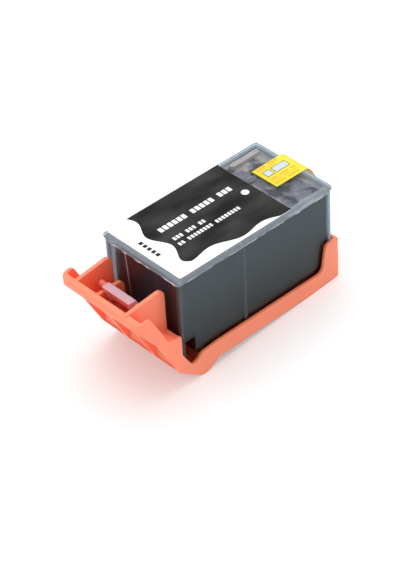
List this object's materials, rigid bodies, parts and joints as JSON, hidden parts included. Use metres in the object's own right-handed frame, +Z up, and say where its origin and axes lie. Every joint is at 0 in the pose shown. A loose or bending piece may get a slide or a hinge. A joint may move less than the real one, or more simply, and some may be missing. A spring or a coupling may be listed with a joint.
{
  "type": "ink cartridge",
  "caption": "Translucent box-shaped ink cartridge with a clear lid, label, pull tab and latch, standing on an orange push-on transport clip.",
  "frame": {"origin": "on the mid-plane of the width, at the height of the clip's foot, halfway along the whole length from the clip's lip to the pull tab's tip", "axes": "+X to the right seen from the latch end, +Y from the latch end to the tab end, +Z up through the label"},
  "size_m": [0.041, 0.0996, 0.0456],
  "materials": {
    "tank_clear_plastic": "gloss, smoky clear",
    "lid_clear_plastic": "gloss, clear",
    "silicone_plug": "matte",
    "vent_film": "matte",
    "label_film": "semi-gloss print",
    "tab_film": "semi-gloss film",
    "ink_foam": "matte, wet",
    "felt": "matte",
    "ink": "wet",
    "filter_steel": "woven",
    "wick_felt": "matte",
    "seal_elastomer": "matte",
    "adhesive_tape": "matte",
    "circuit_board": "satin mask",
    "contact_gold": "plated",
    "die_resin": "gloss",
    "clip_plastic": "satin, moulded",
    "pad_elastomer": "matte"
  },
  "bodies": {
    "root": {"tank": "tank_clear_plastic", "lid": "lid_clear_plastic", "fill_plug": "silicone_plug", "vent_membrane": "vent_film", "top_label": "label_film", "vent_pull_tab": "tab_film", "foam_block": "ink_foam", "vent_absorber": "felt", "ink_charge": "ink", "outlet_filter": "filter_steel", "outlet_wick": "wick_felt", "outlet_seal_ring": "seal_elastomer", "chip_tape": "adhesive_tape", "chip_board": "circuit_board", "chip_contacts": "contact_gold", "chip_die": "die_resin", "transport_clip": "clip_plastic", "clip_seal_pad": "pad_elastomer"}
  },
  "joints": []
}
